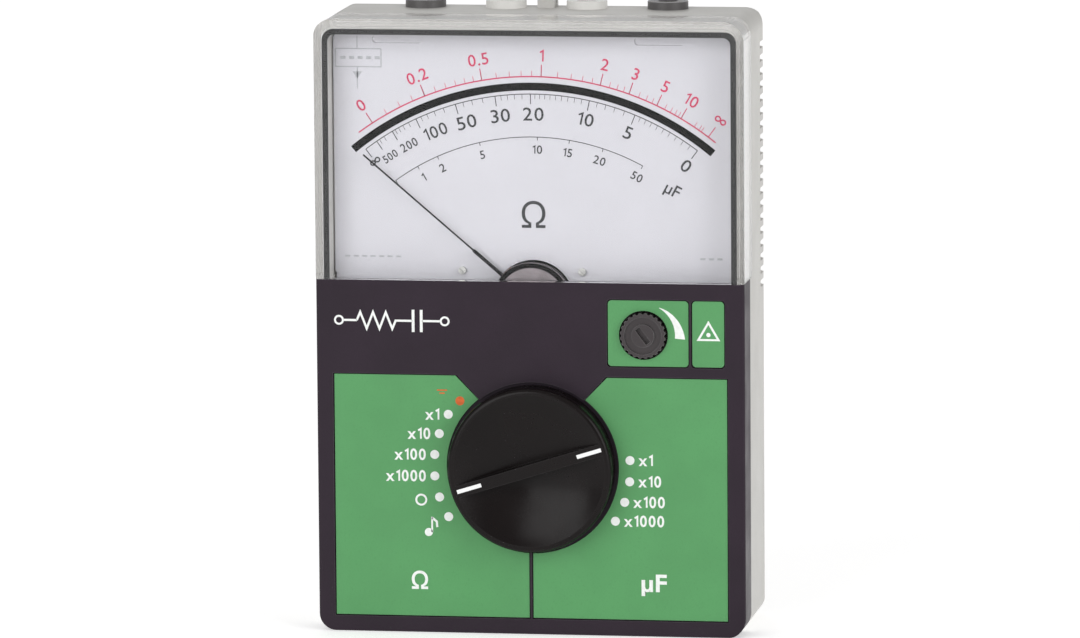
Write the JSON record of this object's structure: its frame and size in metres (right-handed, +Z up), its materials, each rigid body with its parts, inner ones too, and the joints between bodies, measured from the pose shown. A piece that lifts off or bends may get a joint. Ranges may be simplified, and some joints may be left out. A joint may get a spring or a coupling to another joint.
{
  "type": "analog multimeter",
  "caption": "Pocket analog resistance and capacitance meter: clear-fronted dial with a moving-coil pointer above a dark panel with a rotary selector and a zero adjuster.",
  "frame": {"origin": "middle of the footprint, on the plane that the flat bottom end stands on", "axes": "+Z up towards the four test sockets, -Y out of the dial, +X to the reader's right"},
  "size_m": [0.1, 0.0424, 0.146],
  "materials": {
    "case_grey": "light warm grey ABS, fine moulded texture",
    "frame_dark": "dark aubergine-black, satin moulded plastic",
    "seal_black": "black foam rubber seal",
    "clear_plastic": "clear polycarbonate, polished",
    "panel_green": "mid green, satin inlay",
    "screw_steel": "zinc plated steel",
    "screw_dark": "blackened steel",
    "sleeve_grey": "dark grey insulating sleeve",
    "sleeve_white": "white insulating sleeve",
    "contact_brass": "turned brass",
    "wire_insulation": "red wire insulation",
    "dial_white": "cool white printed dial",
    "carrier_plastic": "black moulded plastic",
    "soft_iron": "grey phosphated soft iron",
    "magnet_alloy": "ground magnet alloy",
    "tan_plastic": "tan phenolic plastic",
    "bridge_grey": "mid grey moulded bridge",
    "bridge_alloy": "stamped aluminium",
    "bronze_spring": "phosphor bronze",
    "former_aluminium": "thin aluminium former",
    "copper_wire": "enamelled copper winding",
    "pointer_black": "black lacquered pointer",
    "board_green": "green solder resist",
    "fuse_ceramic": "glazed ceramic fuse tube",
    "part_black": "black moulded component",
    "capacitor_blue": "blue component sleeve",
    "knob_black": "black glossy moulded knob",
    "mark_white": "white inlaid line",
    "natural_plastic": "natural acetal plastic",
    "adjuster_dark": "dark reddish-grey knurled plastic",
    "battery_steel": "plain battery jacket"
  },
  "bodies": {
    "case": {"rear_cover": "case_grey", "middle_shell": "case_grey", "front_frame": "frame_dark", "window_cover": "clear_plastic", "window_seal": "seal_black", "left_panel": "panel_green", "right_panel": "panel_green", "adjuster_panel": "panel_green", "symbol_panel": "panel_green", "case_screws": "screw_steel", "outer_socket_sleeves": "sleeve_grey", "inner_socket_sleeves": "sleeve_white", "socket_tubes": "contact_brass", "socket_nuts": "screw_steel", "socket_wires": "wire_insulation", "dial_plate": "dial_white", "dial_screws": "screw_steel", "movement_carrier": "carrier_plastic", "carrier_screws": "screw_steel", "yoke_ring": "soft_iron", "core_magnet": "magnet_alloy", "core_supports": "tan_plastic", "front_bridge": "bridge_grey", "rear_bridge": "bridge_alloy", "jewel_screws": "contact_brass", "hairsprings": "bronze_spring", "circuit_board": "board_green", "board_screws": "screw_steel", "fuse": "fuse_ceramic", "fuse_clips": "screw_steel", "buzzer": "part_black", "integrated_circuits": "part_black", "resistors": "tan_plastic", "capacitors": "capacitor_blue", "detent_ball": "screw_steel", "detent_spring": "screw_steel", "potentiometer_body": "capacitor_blue", "battery_tray": "carrier_plastic", "battery": "battery_steel", "battery_snap": "part_black"},
    "selector": {"selector_knob": "knob_black", "knob_marks": "mark_white", "selector_shaft": "natural_plastic", "selector_rotor": "natural_plastic", "wiper_contacts": "bronze_spring"},
    "adjuster": {"adjuster_knob": "adjuster_dark", "adjuster_shaft": "natural_plastic"},
    "moving_coil": {"coil_former": "former_aluminium", "coil_winding": "copper_wire", "pivots": "screw_steel", "pointer_hub": "screw_dark", "pointer": "pointer_black", "counterweights": "contact_brass"},
    "door": {"battery_door": "case_grey", "door_screw": "screw_steel"}
  },
  "joints": [
    {"name": "selector_turn", "type": "hinge", "parent": "case", "child": "selector", "pos_m": [0.0005, -0.01565, 0.0392], "axis": [0, -1, 0], "range_deg": [-62.5, 12.5]},
    {"name": "adjuster_turn", "type": "hinge", "parent": "case", "child": "adjuster", "pos_m": [0.0265, -0.01565, 0.0704], "axis": [0, -1, 0], "range_deg": [-135, 135]},
    {"name": "pointer_swing", "type": "hinge", "parent": "case", "child": "moving_coil", "pos_m": [0, -0.01055, 0.0773], "axis": [0, -1, 0], "range_deg": [-98.5, 0], "stiffness_Nm_per_rad": 0.00002},
    {"name": "battery_door_swing", "type": "hinge", "parent": "case", "child": "door", "pos_m": [0, 0.02015, 0.0352], "axis": [1, 0, 0], "range_deg": [0, 75]}
  ]
}
